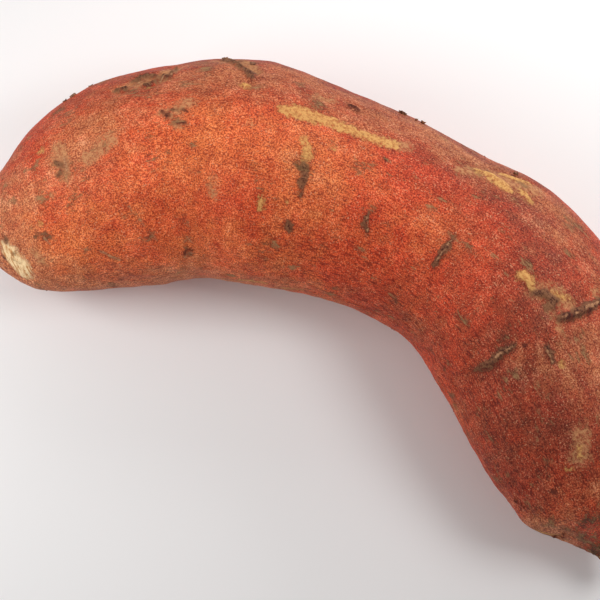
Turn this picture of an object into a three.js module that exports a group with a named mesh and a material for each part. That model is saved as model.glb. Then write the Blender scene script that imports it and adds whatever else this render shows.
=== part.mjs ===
// A large sweet potato lying on its side: one bent, tapering storage root.
// Millimetres, +Z up. The origin is the middle of the bounding box, on the surface it lies on.
// The root tip is at -X, the crown, with the woody stub of its stem, at +X -Y.
import * as THREE from 'three';

const HEIGHT_TO_WIDTH = 0.94;   // every section is a little lower than it is wide
const GIRTH_STEPS = 40;         // vertices round each section
const STEPS_PER_STATION = 3;    // rings between two stations
const SEAT_DEPTH = 1.6;         // how far a seat swells below the plain section

// The sections that the root is lofted through, from the tip to the crown. x and y are the
// spine's place. The half-widths to the outer and the inner side of the bend differ, and
// clearance is the gap between the underside and the surface below it.
const STATIONS = [
  { x: -95.5, y: 18.5, outer: 0, inner: 0, clearance: 19 },
  { x: -93.5, y: 19.5, outer: 5, inner: 8, clearance: 13.5 },
  { x: -89, y: 21.5, outer: 9.5, inner: 15, clearance: 8.5 },
  { x: -83, y: 23.7, outer: 13, inner: 21, clearance: 5.3 },
  { x: -75.5, y: 26, outer: 18.5, inner: 24.7, clearance: 3.2 },
  { x: -67, y: 28.5, outer: 24.5, inner: 26.7, clearance: 1.7 },
  { x: -57, y: 31, outer: 28.5, inner: 28, clearance: 0.8 },
  { x: -45, y: 33.5, outer: 31, inner: 30, clearance: 0.7 },
  { x: -28.5, y: 36.5, outer: 31, inner: 31.2, clearance: 1.1 },
  { x: -12, y: 35.5, outer: 31.3, inner: 32.6, clearance: 1.6 },
  { x: 5, y: 31, outer: 29.6, inner: 30.8, clearance: 1.7 },
  { x: 22, y: 25, outer: 28.8, inner: 29, clearance: 1.2 },
  { x: 37.5, y: 16, outer: 28.7, inner: 27.5, clearance: 0.7 },
  { x: 50.5, y: 7, outer: 30.8, inner: 28.7, clearance: 1 },
  { x: 60.5, y: -4, outer: 29.9, inner: 30.5, clearance: 1.1 },
  { x: 68, y: -16.5, outer: 28.9, inner: 30.5, clearance: 0.8 },
  { x: 74.5, y: -30, outer: 28, inner: 30.3, clearance: 0.7 },
  { x: 79.5, y: -43.5, outer: 25.5, inner: 28, clearance: 1.8 },
  { x: 83, y: -55, outer: 20.5, inner: 23.8, clearance: 4.2 },
  { x: 85, y: -62.5, outer: 14, inner: 19.3, clearance: 7.5 },
  { x: 85.5, y: -66.5, outer: 8.5, inner: 10.5, clearance: 11.5 },
  { x: 86.5, y: -69.5, outer: 5, inner: 5, clearance: 13.5 },
  { x: 88.5, y: -73, outer: 4, inner: 4, clearance: 13 },
  { x: 90, y: -75.5, outer: 3.2, inner: 3.2, clearance: 12.5 },
  { x: 90.7, y: -76.6, outer: 0, inner: 0, clearance: 15 },
];

// Swellings (+) and hollows (-) of the skin. station is a place in the list above, turn is in
// degrees: 0 on the outer side of the bend, 90 on top, 180 on the inner side, 270 underneath.
// length is in stations, spread in degrees.
const LUMPS = [
  { station: 4.5, turn: 70, length: 1.4, spread: 40, height: 1.2 },
  { station: 6.2, turn: 200, length: 1.2, spread: 35, height: 0.8 },
  { station: 7.6, turn: 35, length: 1, spread: 30, height: -0.9 },
  { station: 9.4, turn: 110, length: 1.3, spread: 45, height: 1 },
  { station: 10.6, turn: 20, length: 1, spread: 35, height: -1 },
  { station: 12.2, turn: 150, length: 1.3, spread: 35, height: -1.1 },
  { station: 13.1, turn: 50, length: 1.1, spread: 30, height: -1 },
  { station: 14.6, turn: 95, length: 1.4, spread: 45, height: 1.3 },
  { station: 15.4, turn: 350, length: 1.2, spread: 30, height: 1 },
  { station: 17.4, turn: 120, length: 1, spread: 35, height: -0.9 },
  { station: 18.3, turn: 30, length: 1, spread: 40, height: 0.9 },
];

// The three low places it has settled on. Each ends in a small flat on the surface below.
const SEATS = [
  { station: 6.7, turn: 270 },
  { station: 12.2, turn: 280 },
  { station: 15.8, turn: 268 },
].map((seat) => ({ ...seat, length: 1.1, spread: 28, height: SEAT_DEPTH }));

function splineThrough(points) {
  return new THREE.CatmullRomCurve3(points, false, 'catmullrom', 0.5);
}

// Splining the squares of the half-widths rounds the two ends off.
const spine = splineThrough(STATIONS.map((s) => new THREE.Vector3(s.x, s.y, s.clearance)));
const squaredWidths = splineThrough(
  STATIONS.map((s) => new THREE.Vector3(s.outer ** 2, s.inner ** 2, 0)),
);

function bell(distance, reach) {
  return Math.exp(-((distance / reach) ** 2));
}

function lumpHeight(station, turn) {
  let height = 0;
  for (const lump of [...LUMPS, ...SEATS]) {
    const turned = THREE.MathUtils.euclideanModulo(turn - lump.turn + 180, 360) - 180;
    height += lump.height * bell(station - lump.station, lump.length) * bell(turned, lump.spread);
  }
  return height;
}

// The section at a place along the root: its centre, the level direction to the outer side of
// the bend, and its three half-axes.
function sectionAt(along) {
  const centre = spine.getPoint(along);
  const heading = spine.getTangent(along);
  const side = new THREE.Vector3(-heading.y, heading.x, 0).normalize();
  const squares = squaredWidths.getPoint(along);
  const outer = Math.sqrt(Math.max(squares.x, 0));
  const inner = Math.sqrt(Math.max(squares.y, 0));
  const height = HEIGHT_TO_WIDTH * (outer + inner) / 2;
  centre.z += height;
  return { centre, side, outer, inner, height };
}

function skinPoint(section, station, turn) {
  const radians = THREE.MathUtils.degToRad(turn);
  const across = Math.cos(radians);
  const offset = section.side.clone().multiplyScalar(
    across * (across > 0 ? section.outer : section.inner),
  );
  offset.z = Math.sin(radians) * section.height;
  const radius = offset.length();
  const lump = Math.min(lumpHeight(station, turn), radius);
  offset.multiplyScalar(1 + lump / radius);
  const point = offset.add(section.centre);
  point.z = Math.max(point.z, 0);
  return point;
}

function rootGeometry() {
  const lastStation = STATIONS.length - 1;
  const ringCount = lastStation * STEPS_PER_STATION - 1;
  const points = [sectionAt(0).centre];
  for (let ring = 1; ring <= ringCount; ring += 1) {
    const along = ring / (ringCount + 1);
    const section = sectionAt(along);
    for (let step = 0; step < GIRTH_STEPS; step += 1) {
      points.push(skinPoint(section, along * lastStation, 360 * step / GIRTH_STEPS));
    }
  }
  points.push(sectionAt(1).centre);

  const at = (ring, step) => 1 + ring * GIRTH_STEPS + step % GIRTH_STEPS;
  const crown = points.length - 1;
  const faces = [];
  for (let step = 0; step < GIRTH_STEPS; step += 1) {
    faces.push(0, at(0, step + 1), at(0, step));
    faces.push(crown, at(ringCount - 1, step), at(ringCount - 1, step + 1));
    for (let ring = 0; ring < ringCount - 1; ring += 1) {
      faces.push(at(ring, step), at(ring + 1, step + 1), at(ring + 1, step));
      faces.push(at(ring, step), at(ring, step + 1), at(ring + 1, step + 1));
    }
  }
  const geometry = new THREE.BufferGeometry().setFromPoints(points);
  geometry.setIndex(faces);
  return geometry;
}

// Moves the origin to the middle of the bounding box, on its lower face.
function setOnSurface(geometry) {
  geometry.computeBoundingBox();
  const { min, max } = geometry.boundingBox;
  geometry.translate(-(min.x + max.x) / 2, -(min.y + max.y) / 2, -min.z);
  geometry.computeVertexNormals();
  return geometry;
}

const skin = new THREE.MeshStandardMaterial({ color: 0xb2553a, roughness: 0.72, metalness: 0 });
const sweetPotato = new THREE.Mesh(setOnSurface(rootGeometry()), skin);
sweetPotato.name = 'sweet_potato';

const part = new THREE.Group();
part.add(sweetPotato);

export default part;
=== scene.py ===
"""A large sweet potato lying on its side: its visual model.

The smooth form is read off the CAD solid as a grid of rings along the bent spine. Listed marks
and zones then sink, raise and name the skin: cork scrapes, dark scars, root pits, wrinkles and bark.
Geometry nodes add the growth relief and the broken fine roots. One finish dresses the skin, another
the roots.
"""
import logging
import math
from dataclasses import dataclass, field
from enum import Enum
from typing import Any

import bpy
import numpy as np
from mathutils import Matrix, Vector
from mathutils.bvhtree import BVHTree


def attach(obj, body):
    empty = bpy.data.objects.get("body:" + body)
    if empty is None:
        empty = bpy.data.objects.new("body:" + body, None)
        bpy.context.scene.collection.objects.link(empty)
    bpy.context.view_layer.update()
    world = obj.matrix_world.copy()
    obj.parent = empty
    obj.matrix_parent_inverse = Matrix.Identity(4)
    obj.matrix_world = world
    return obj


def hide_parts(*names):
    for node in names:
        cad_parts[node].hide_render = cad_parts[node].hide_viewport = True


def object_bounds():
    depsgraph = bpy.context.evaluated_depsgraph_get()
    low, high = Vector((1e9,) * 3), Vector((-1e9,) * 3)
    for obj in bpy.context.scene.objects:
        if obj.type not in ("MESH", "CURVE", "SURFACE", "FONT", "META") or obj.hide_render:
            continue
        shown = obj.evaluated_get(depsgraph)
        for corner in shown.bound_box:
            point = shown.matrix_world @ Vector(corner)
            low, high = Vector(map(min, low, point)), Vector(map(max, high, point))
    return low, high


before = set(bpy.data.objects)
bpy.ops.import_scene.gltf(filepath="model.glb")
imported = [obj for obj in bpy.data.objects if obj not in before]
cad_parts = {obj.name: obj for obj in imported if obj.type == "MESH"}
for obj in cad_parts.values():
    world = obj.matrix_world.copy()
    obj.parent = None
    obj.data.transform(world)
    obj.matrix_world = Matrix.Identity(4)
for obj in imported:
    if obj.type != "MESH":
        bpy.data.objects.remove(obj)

NODE = "sweet_potato"
BODY = "root"
MM = 0.001
CAD_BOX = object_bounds()
UV_MARGIN = 0.01
TINY = 1e-9
# The lowest place a point of the skin may have, in metres. Only its height is held.
LOWEST = (-1.0, -1.0, 0.0)

log = logging.getLogger("sweet_potato")


# ---------------------------------------------------------------- small helpers


def linear(red: int, green: int, blue: int) -> tuple[float, float, float, float]:
    """Turn an 8-bit display colour into the linear colour that a shader socket takes.

    Args:
        red: Display red, 0 to 255.
        green: Display green, 0 to 255.
        blue: Display blue, 0 to 255.

    Returns:
        The linear red, green and blue, with an alpha of 1.
    """
    channels = [value / 255 for value in (red, green, blue)]
    light = [c / 12.92 if c <= 0.04045 else ((c + 0.055) / 1.055) ** 2.4 for c in channels]
    return (*light, 1.0)


def bell(distance: np.ndarray, reach: float | np.ndarray) -> np.ndarray:
    """Return a smooth hump: 1 where the distance is 0, and 1/e at the reach."""
    return np.exp(-((distance / reach) ** 2))


def ease(value: np.ndarray) -> np.ndarray:
    """Return a smooth step from 0 to 1 as the value goes from 0 to 1."""
    clipped = np.clip(value, 0.0, 1.0)
    return clipped * clipped * (3.0 - 2.0 * clipped)


def turned(turn: np.ndarray, other: float) -> np.ndarray:
    """Return the signed difference of two turns, in degrees, from -180 to 180."""
    return (turn - other + 180.0) % 360.0 - 180.0


def spline(points: np.ndarray, count: int) -> np.ndarray:
    """Lay a smooth curve through points.

    Args:
        points: The points to pass through, one a row.
        count: How many points the curve gets.

    Returns:
        The curve's points, evenly spaced along its length.
    """
    padded = np.vstack([2 * points[0] - points[1], points, 2 * points[-1] - points[-2]])
    place = np.linspace(0, len(points) - 1, count * 4)
    start = np.minimum(place.astype(int), len(points) - 2)
    part = (place - start)[:, None]
    before, first, second, after = (padded[start + shift] for shift in range(4))
    curve = 0.5 * (
        2 * first
        + (second - before) * part
        + (2 * before - 5 * first + 4 * second - after) * part**2
        + (3 * first - before - 3 * second + after) * part**3
    )
    length = np.concatenate([[0], np.cumsum(np.linalg.norm(np.diff(curve, axis=0), axis=1))])
    even = np.linspace(0, length[-1], count)
    return np.column_stack([np.interp(even, length, axis) for axis in curve.T])


def face_corners(*pairs: tuple[np.ndarray | float, np.ndarray]) -> np.ndarray:
    """Put the corners of many like faces in the order that an unwrapping stores them.

    Args:
        pairs: For each corner of a face, its place across and its place up, in every face.

    Returns:
        One row a corner, face after face.
    """
    corners = [np.column_stack(np.broadcast_arrays(across, up)) for across, up in pairs]
    return np.stack(corners, axis=1).reshape(-1, 2)


# ---------------------------------------------------------------- node graphs


class Value:
    """A number or vector carried by a node's output. Arithmetic on it adds Math nodes."""

    def __init__(self, graph: "Graph", socket: bpy.types.NodeSocket) -> None:
        """Wrap an output socket of a graph."""
        self.graph = graph
        self.socket = socket

    def __add__(self, other: "Value | float") -> "Value":
        """Return self + other."""
        return self.graph.math("ADD", self, other)

    def __radd__(self, other: float) -> "Value":
        """Return other + self."""
        return self.graph.math("ADD", other, self)

    def __sub__(self, other: "Value | float") -> "Value":
        """Return self - other."""
        return self.graph.math("SUBTRACT", self, other)

    def __rsub__(self, other: float) -> "Value":
        """Return other - self."""
        return self.graph.math("SUBTRACT", other, self)

    def __mul__(self, other: "Value | float") -> "Value":
        """Return self * other."""
        return self.graph.math("MULTIPLY", self, other)

    def __rmul__(self, other: float) -> "Value":
        """Return other * self."""
        return self.graph.math("MULTIPLY", other, self)


class Graph:
    """A node tree under construction, for a material or for geometry."""

    def __init__(self, tree: bpy.types.NodeTree) -> None:
        """Start with an empty tree."""
        self.tree = tree
        tree.nodes.clear()

    def add(
        self,
        kind: str,
        settings: dict[str, Any] | None = None,
        inputs: dict[str | int, Any] | None = None,
        output: str | int = 0,
    ) -> Value:
        """Add any node.

        Args:
            kind: The node's type name.
            settings: Its properties, set first.
            inputs: Values, or Value objects to link, by socket name or number.
            output: The output socket to return, by name or number.

        Returns:
            The chosen output.
        """
        node = self.tree.nodes.new(kind)
        for name, setting in (settings or {}).items():
            setattr(node, name, setting)
        for name, given in (inputs or {}).items():
            socket = node.inputs[name]
            if isinstance(given, Value):
                self.tree.links.new(given.socket, socket)
            else:
                socket.default_value = given
        return Value(self, node.outputs[output]) if node.outputs else None

    def math(self, operation: str, *values: Value | float) -> Value:
        """Add a Math node for an operation on one to three values."""
        return self.add("ShaderNodeMath", {"operation": operation}, dict(enumerate(values)))

    def between(self, value: Value, low: float, high: float) -> Value:
        """Turn a value into a smooth mask.

        Args:
            value: The value.
            low: Where the mask is 0. It may be the larger of the two.
            high: Where the mask is 1.

        Returns:
            The mask.
        """
        return self.add(
            "ShaderNodeMapRange",
            {"interpolation_type": "SMOOTHSTEP"},
            {"Value": value, "From Min": low, "From Max": high},
        )

    def noise(self, place: Value, size: float, detail: float = 2.0, **more: float) -> Value:
        """Add a Noise Texture whose blobs are about `size` metres across."""
        inputs = {"Vector": place, "Scale": 1.0 / size, "Detail": detail, **more}
        return self.add("ShaderNodeTexNoise", {}, inputs)

    def mix(self, amount: Value | float, under: Any, over: Any) -> Value:
        """Lay one colour over another by an amount from 0 to 1."""
        inputs = {0: amount, 6: under, 7: over}
        return self.add("ShaderNodeMix", {"data_type": "RGBA"}, inputs, 2)

    def stretched(self, place: Value, scale: tuple[float, float, float]) -> Value:
        """Scale a vector or a colour axis by axis. A pattern on a scaled place is stretched."""
        return self.vector_math("MULTIPLY", place, scale)

    def vector_math(self, operation: str, first: Value, second: Any) -> Value:
        """Add a Vector Math node for an operation on two vectors."""
        return self.add("ShaderNodeVectorMath", {"operation": operation}, {0: first, 1: second})

    def lengthened(self, vector: Value, factor: Value) -> Value:
        """Multiply a vector by a number."""
        return self.add("ShaderNodeVectorMath", {"operation": "SCALE"}, {0: vector, "Scale": factor})

    def bump(self, height: Value, strength: float, distance: float) -> Value:
        """Turn a height from 0 to 1 into a bumped normal."""
        inputs = {"Strength": strength, "Distance": distance, "Height": height}
        return self.add("ShaderNodeBump", {}, inputs)

    def dress(self, inputs: dict[str, Any]) -> None:
        """End a material with one Principled shader."""
        shader = self.add("ShaderNodeBsdfPrincipled", {}, inputs)
        self.add("ShaderNodeOutputMaterial", {}, {"Surface": shader})

    def attribute(self, name: str, output: str = "Fac") -> Value:
        """Read a mesh attribute in a material."""
        return self.add("ShaderNodeAttribute", {"attribute_name": name}, {}, output)


def new_material(name: str) -> tuple[bpy.types.Material, Graph]:
    """Make an empty node material.

    Args:
        name: The material's name.

    Returns:
        The material, and the graph that fills it.
    """
    material = bpy.data.materials.new(name)
    material.use_nodes = True
    return material, Graph(material.node_tree)


# ---------------------------------------------------------------- the smooth form


@dataclass
class SkinGrid:
    """The root's surface as a grid of rings, in millimetres.

    Attributes:
        points: Place of each grid point, by ring and column.
        along: Distance of each ring from the tip along the spine.
        turns: Turn of each column: 0 faces the outer side of the bend, 90 up, 180 the inner side.
        girth: Mean radius of each ring.
        poles: The tip's and the crown's end points.
        fields: Named numbers on the grid, kept as mesh attributes.
    """

    points: np.ndarray
    along: np.ndarray
    turns: np.ndarray
    girth: np.ndarray
    poles: tuple[np.ndarray, np.ndarray]
    fields: dict[str, np.ndarray] = field(default_factory=dict)

    def place(self, along: float, turn: float, grid: np.ndarray | None = None) -> np.ndarray:
        """Find the skin point nearest a distance along and a turn.

        Args:
            along: Distance from the tip, in millimetres.
            turn: Turn round the root, in degrees.
            grid: Another grid to read at that point.

        Returns:
            The point, or the other grid's value there.
        """
        ring = np.abs(self.along - along).argmin()
        column = np.abs(turned(self.turns, turn)).argmin()
        return (self.points if grid is None else grid)[ring, column]

    def normals(self) -> np.ndarray:
        """Work out which way the skin faces.

        Returns:
            The outward unit normal at every grid point.
        """
        down = np.gradient(self.points, axis=0)
        round_ = np.roll(self.points, -1, axis=1) - np.roll(self.points, 1, axis=1)
        cross = np.cross(down, round_)
        return cross / np.linalg.norm(cross, axis=2, keepdims=True)

    def raise_skin(self, height: np.ndarray) -> None:
        """Move every grid point outwards by its height."""
        self.points += self.normals() * height[:, :, None]

    def unbent(self) -> np.ndarray:
        """Pull the root straight, tip at 0, along X.

        Returns:
            Each grid point's place on the straight root, in millimetres.
        """
        angle = np.radians(self.turns)[None, :]
        girth = self.girth[:, None]
        along = np.broadcast_to(self.along[:, None], self.points.shape[:2])
        return np.stack([along, girth * np.cos(angle), girth * np.sin(angle)], axis=2)

    def mesh(self, name: str) -> bpy.types.Mesh:
        """Make the closed mesh, in metres, with its attributes and its unwrapping.

        Args:
            name: The mesh's name.

        Returns:
            The mesh, faces outwards, closed by a fan at each end.
        """
        rings, columns = self.points.shape[:2]
        vertices = np.vstack([self.points.reshape(-1, 3), *self.poles]) * MM
        index = np.arange(rings * columns).reshape(rings, columns)
        beside = np.roll(index, -1, axis=1)
        quads = np.stack([index[:-1], index[1:], beside[1:], beside[:-1]], axis=2).reshape(-1, 4)
        tip, crown = rings * columns, rings * columns + 1
        tip_fan = np.column_stack([np.full(columns, tip), index[0], beside[0]])
        crown_fan = np.column_stack([np.full(columns, crown), beside[-1], index[-1]])
        mesh = bpy.data.meshes.new(name)
        mesh.from_pydata(vertices, [], [*quads.tolist(), *tip_fan.tolist(), *crown_fan.tolist()])
        self._unwrap(mesh, rings, columns)
        for key, grid in {**self.fields, "unbent": self.unbent() * MM}.items():
            self._store(mesh, key, grid)
        mesh.shade_smooth()
        return mesh

    @staticmethod
    def _store(mesh: bpy.types.Mesh, name: str, grid: np.ndarray) -> None:
        """Keep a grid of numbers or vectors as a point attribute of the mesh.

        Args:
            mesh: The mesh made from the grid.
            name: The attribute's name.
            grid: The numbers or vectors. Each end point gets its ring's mean.
        """
        vector = grid.ndim == 3
        flat = grid.reshape(-1, 3) if vector else grid.reshape(-1)
        ends = [grid[0].mean(axis=0), grid[-1].mean(axis=0)]
        whole = np.concatenate([flat, np.array(ends)]).astype(np.float32)
        attribute = mesh.attributes.new(name, "FLOAT_VECTOR" if vector else "FLOAT", "POINT")
        attribute.data.foreach_set("vector" if vector else "value", whole.ravel())

    def _unwrap(self, mesh: bpy.types.Mesh, rings: int, columns: int) -> None:
        """Unroll the skin flat: distance along it across, turn up, the cut underneath.

        Args:
            mesh: The mesh made from the grid.
            rings: How many rings the grid has.
            columns: How many points each ring has.
        """
        used = 1.0 - 2.0 * UV_MARGIN
        across = UV_MARGIN + used * self.along / self.along[-1]
        step = used / columns
        quads = (rings - 1) * columns
        ring, column = np.divmod(np.arange(quads), columns)
        low, high = UV_MARGIN + column * step, UV_MARGIN + (column + 1) * step
        corners = face_corners(
            (across[ring], low), (across[ring + 1], low), (across[ring + 1], high), (across[ring], high)
        )
        fan_low = UV_MARGIN + np.arange(columns) * step
        fan_high, middle = fan_low + step, fan_low + step / 2
        tip = face_corners((UV_MARGIN / 2, middle), (across[0], fan_low), (across[0], fan_high))
        end = 1.0 - UV_MARGIN / 2
        crown = face_corners((end, middle), (across[-1], fan_high), (across[-1], fan_low))
        layer = mesh.uv_layers.new(name="OFBake")
        layer.data.foreach_set("uv", np.concatenate([corners, tip, crown]).ravel())


@dataclass
class RootForm:
    """The smooth bent root, read off the CAD solid.

    Attributes:
        rings: Rings from the tip to the crown.
        columns: Points round each ring.
        spine: Points inside the solid from near the tip to the stub, as fractions of the CAD box.
        end_crowding: How much closer the rings stand at the two ends.
        end_reach: How far from each end they stand closer, in millimetres.
        blur: How many grid steps the solid's facets are smoothed over.
        spine_steps: Points along the dense spine.
        stop_steps: Points along it that are counted when the rings are spaced out.
    """

    rings: int = 340
    columns: int = 288
    spine: tuple[tuple[float, float, float], ...] = (
        (0.035, 0.684, 0.31),
        (0.102, 0.715, 0.37),
        (0.195, 0.749, 0.44),
        (0.337, 0.787, 0.485),
        (0.504, 0.749, 0.48),
        (0.666, 0.646, 0.44),
        (0.781, 0.507, 0.49),
        (0.851, 0.328, 0.455),
        (0.893, 0.155, 0.40),
        (0.906, 0.075, 0.32),
        (0.921, 0.030, 0.275),
    )
    end_crowding: float = 2.5
    end_reach: float = 8.0
    blur: float = 4.0
    spine_steps: int = 4000
    stop_steps: int = 8000

    def read(self) -> SkinGrid:
        """Cast rays from the spine to the solid and smooth what they hit.

        Returns:
            The skin as a grid, its seats kept flat on the surface below.
        """
        tree = self._solid()
        spine = self._spine(tree)
        along = np.concatenate([[0], np.cumsum(np.linalg.norm(np.diff(spine, axis=0), axis=1))])
        stops = self._ring_stops(along[-1])
        centres = np.column_stack([np.interp(stops, along, axis) for axis in spine.T])
        headings = np.column_stack(
            [np.interp(stops, along, axis) for axis in np.gradient(spine, axis=0).T]
        )
        sides = np.column_stack([-headings[:, 1], headings[:, 0], np.zeros(len(stops))])
        sides /= np.linalg.norm(sides, axis=1, keepdims=True)
        turns = np.arange(self.columns) * 360.0 / self.columns - 90.0
        points = self._hits(tree, centres, sides, np.radians(turns))
        points = self._smoothed(points)
        points[:, :, 2] = np.maximum(points[:, :, 2], 0.0)
        girth = np.linalg.norm(points - points.mean(axis=1, keepdims=True), axis=2).mean(axis=1)
        return SkinGrid(points, stops, turns, girth, (spine[0], spine[-1]))

    @staticmethod
    def _solid() -> BVHTree:
        """Read the CAD solid.

        Returns:
            Its surface, in millimetres, ready for ray casts.
        """
        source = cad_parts[NODE].data
        vertices = [vertex.co / MM for vertex in source.vertices]
        return BVHTree.FromPolygons(vertices, [tuple(p.vertices) for p in source.polygons])

    def _spine(self, tree: BVHTree) -> np.ndarray:
        """Lay the spine through its points.

        Args:
            tree: The solid's surface.

        Returns:
            The spine as a dense curve, its two ends on the surface.
        """
        low, high = (np.array(corner) / MM for corner in CAD_BOX)
        inner = low + np.array(self.spine) * (high - low)
        ends = []
        for start, behind in ((inner[0], inner[1]), (inner[-1], inner[-2])):
            hit = tree.ray_cast(Vector(start), Vector(start - behind))[0]
            ends.append(np.array(hit))
        return spline(np.vstack([ends[0], inner, ends[1]]), self.spine_steps)

    def _ring_stops(self, length: float) -> np.ndarray:
        """Space the rings out, closer together at the ends.

        Args:
            length: The spine's length, in millimetres.

        Returns:
            Each ring's distance along the spine.
        """
        dense = np.linspace(0, length, self.stop_steps)
        crowd = bell(dense, self.end_reach) + bell(length - dense, self.end_reach)
        count = np.cumsum(1.0 + self.end_crowding * crowd)
        wanted = (np.arange(self.rings) + 0.5) / self.rings
        return np.interp(wanted, count / count[-1], dense)

    @staticmethod
    def _hits(
        tree: BVHTree, centres: np.ndarray, sides: np.ndarray, turns: np.ndarray
    ) -> np.ndarray:
        """Cast a fan of rays from each spine point.

        Args:
            tree: The solid's surface.
            centres: Each ring's middle.
            sides: Each ring's level unit direction to the outer side of the bend.
            turns: Each ray's turn, in radians.

        Returns:
            Where each ray meets the solid, or the ring's middle where it doesn't.
        """
        up = np.array([0.0, 0.0, 1.0])
        points = np.empty((len(centres), len(turns), 3))
        for ring, (centre, side) in enumerate(zip(centres, sides)):
            rays = np.cos(turns)[:, None] * side + np.sin(turns)[:, None] * up
            start = Vector(centre)
            for column, ray in enumerate(rays):
                hit = tree.ray_cast(start, Vector(ray))[0]
                points[ring, column] = centre if hit is None else hit
        return points

    def _smoothed(self, points: np.ndarray) -> np.ndarray:
        """Blur the facets away, carrying on over each end to the far side of the ring.

        Args:
            points: The grid points as cast.

        Returns:
            The smoothed grid points.
        """
        pad = int(3 * self.blur)
        half = self.columns // 2
        over_tip = np.roll(points[:pad][::-1], half, axis=1)
        over_crown = np.roll(points[-pad:][::-1], half, axis=1)
        whole = np.concatenate([over_tip, points, over_crown])
        weights = bell(np.arange(-pad, pad + 1), self.blur * math.sqrt(2))
        weights /= weights.sum()
        rings = sum(
            weight * whole[shift : shift + len(points)] for shift, weight in enumerate(weights)
        )
        return sum(
            weight * np.roll(rings, shift - pad, axis=1) for shift, weight in enumerate(weights)
        )


# ---------------------------------------------------------------- marks and zones of the skin


class Tissue(Enum):
    """What a mark on the skin is made of. The value names its mesh attribute."""

    ASH = "ash"
    CORK = "cork"
    FLESH = "flesh"
    SCAR = "scar"
    PALE = "pale"
    PIT = "pit"


class Tint(Enum):
    """How a zone of the skin differs from the rest. The value names its mesh attribute."""

    GLOW = "glow"
    WORN_AND_LIT = "worn_and_lit"
    # A tan for worn skin, and also painted light: floor bounce along the inner side, a pale sheen along
    # the outer side.
    DUSKY = "dusky"
    WRINKLED = "wrinkled"
    BARK = "bark"


@dataclass(frozen=True)
class Mark:
    """A scrape, scar or pit: a band along a few stops.

    Attributes:
        tissue: What it is made of.
        stops: Distance along in mm, turn in degrees and half-width in mm, at each stop.
        sunk: How far its middle sinks, in millimetres.
        rim: How high its lip stands, in millimetres.
    """

    tissue: Tissue
    stops: tuple[tuple[float, float, float], ...]
    sunk: float = 0.0
    rim: float = 0.0


@dataclass(frozen=True)
class Zone:
    """A soft-edged patch of skin of another tint.

    Attributes:
        tint: What changes.
        along: Distance of its middle from the tip, in millimetres.
        turn: Turn of its middle, in degrees.
        length: Reach along the root, in millimetres.
        spread: Reach round the root, in millimetres.
        amount: How strong it is at its middle.
    """

    tint: Tint
    along: float
    turn: float
    length: float
    spread: float
    amount: float


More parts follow.
